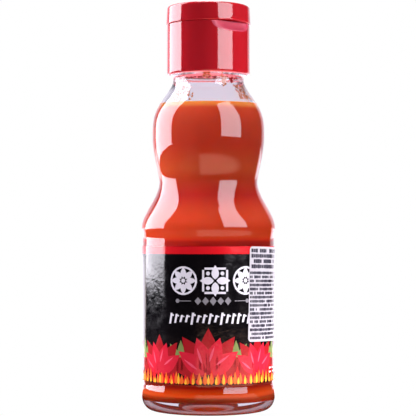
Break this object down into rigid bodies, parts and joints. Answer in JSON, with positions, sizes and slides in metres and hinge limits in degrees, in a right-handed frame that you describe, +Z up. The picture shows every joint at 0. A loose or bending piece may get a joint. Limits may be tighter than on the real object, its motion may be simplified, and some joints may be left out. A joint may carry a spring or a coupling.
{
  "type": "hot sauce bottle",
  "caption": "Shut, waisted glass bottle filled with smooth chilli sauce, with a red flip-top screw cap, a wrap-round printed label and a white paper sticker on its side.",
  "frame": {"origin": "middle of the base, on the surface that the bottle stands on", "axes": "+Z up along the bottle's axis, -Y towards the front of the label, +X to the right as seen from the front"},
  "size_m": [0.053, 0.053, 0.1597],
  "materials": {
    "glass": "clear, smooth, colourless container glass with rounded, glossy surfaces",
    "sauce": "opaque, smooth, orange-red chilli sauce, wet where it meets the glass",
    "label_print": null,
    "sticker_paper": "satin white coated paper with rows of grey bars in place of small print",
    "cap_plastic": "glossy moulded red plastic"
  },
  "bodies": {
    "root": {"glass_bottle": "glass", "sauce": "sauce", "label": "label_print", "sticker": "sticker_paper", "cap_base": "cap_plastic", "cap_lid": "cap_plastic"}
  },
  "joints": []
}
